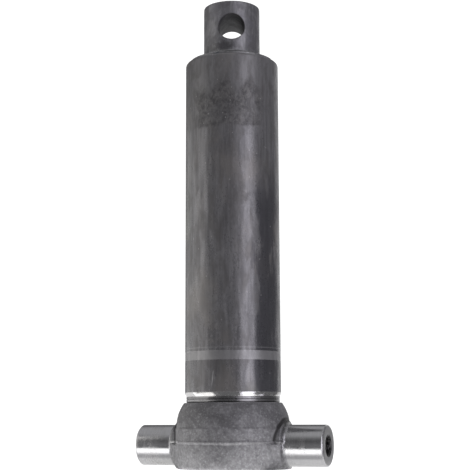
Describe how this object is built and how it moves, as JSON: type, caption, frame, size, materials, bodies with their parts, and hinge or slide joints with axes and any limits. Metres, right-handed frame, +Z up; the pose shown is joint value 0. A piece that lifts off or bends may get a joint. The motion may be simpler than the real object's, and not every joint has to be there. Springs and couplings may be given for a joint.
{
  "type": "hydraulic cylinder",
  "caption": "Single-acting telescopic hydraulic ram: trunnion base with an oil port, plain steel barrel, sliding sleeve and plunger, and a cross-drilled eye on top.",
  "frame": {"origin": "centre of the base's flat underside, on the cylinder's axis", "axes": "+Z up along the cylinder's axis towards the eye, +X along the trunnions towards the oil port, +Y across them"},
  "size_m": [0.205, 0.1206, 0.4944],
  "materials": {
    "forged_steel": "rough forged skin with a light oil film; journals bright-turned",
    "tube_steel": "dark mill-scale tube, oiled, with a bright turned foot",
    "gland_steel": "turned and oiled",
    "sleeve_steel": "ground outside, dark at the head",
    "plunger_steel": "ground and hard-chromed",
    "eye_steel": "dark rolled bar with a light oil film",
    "weld_steel": "ground-back weld bead",
    "plug_steel": "turned",
    "spring_steel": "hardened wire",
    "nitrile_rubber": "smooth",
    "seal_polyurethane": "smooth, slightly glossy",
    "guide_resin": "cloth-filled resin, turned"
  },
  "bodies": {
    "barrel": {"trunnion_base": "forged_steel", "barrel_tube": "tube_steel", "base_o_ring": "nitrile_rubber", "gland_nut": "gland_steel", "gland_o_ring": "nitrile_rubber", "gland_guide_ring": "guide_resin", "gland_lip_seal": "seal_polyurethane", "gland_wiper": "seal_polyurethane"},
    "sleeve_foot": {"sleeve_foot_guide_ring": "guide_resin", "sleeve_stop_ring": "spring_steel"},
    "sleeve": {"sleeve_tube": "sleeve_steel", "sleeve_rest_ring": "spring_steel", "sleeve_head_guide_ring": "guide_resin", "sleeve_head_lip_seal": "seal_polyurethane", "sleeve_head_wiper": "seal_polyurethane"},
    "plunger_foot": {"plunger_foot_guide_ring": "guide_resin", "plunger_stop_ring": "spring_steel"},
    "plunger": {"plunger_tube": "plunger_steel", "plunger_foot_plug": "plug_steel", "rod_eye": "eye_steel", "eye_weld_bead": "weld_steel"}
  },
  "joints": [
    {"name": "sleeve_slide", "type": "slide", "parent": "barrel", "child": "sleeve_foot", "axis": [0, 0, 1], "range_m": [0, 0.268]},
    {"name": "sleeve_turn", "type": "hinge", "parent": "sleeve_foot", "child": "sleeve", "pos_m": [0, 0, 0.2], "axis": [0, 0, 1], "continuous": true},
    {"name": "plunger_slide", "type": "slide", "parent": "sleeve", "child": "plunger_foot", "axis": [0, 0, 1], "range_m": [0, 0.2665]},
    {"name": "plunger_turn", "type": "hinge", "parent": "plunger_foot", "child": "plunger", "pos_m": [0, 0, 0.2], "axis": [0, 0, 1], "continuous": true}
  ]
}
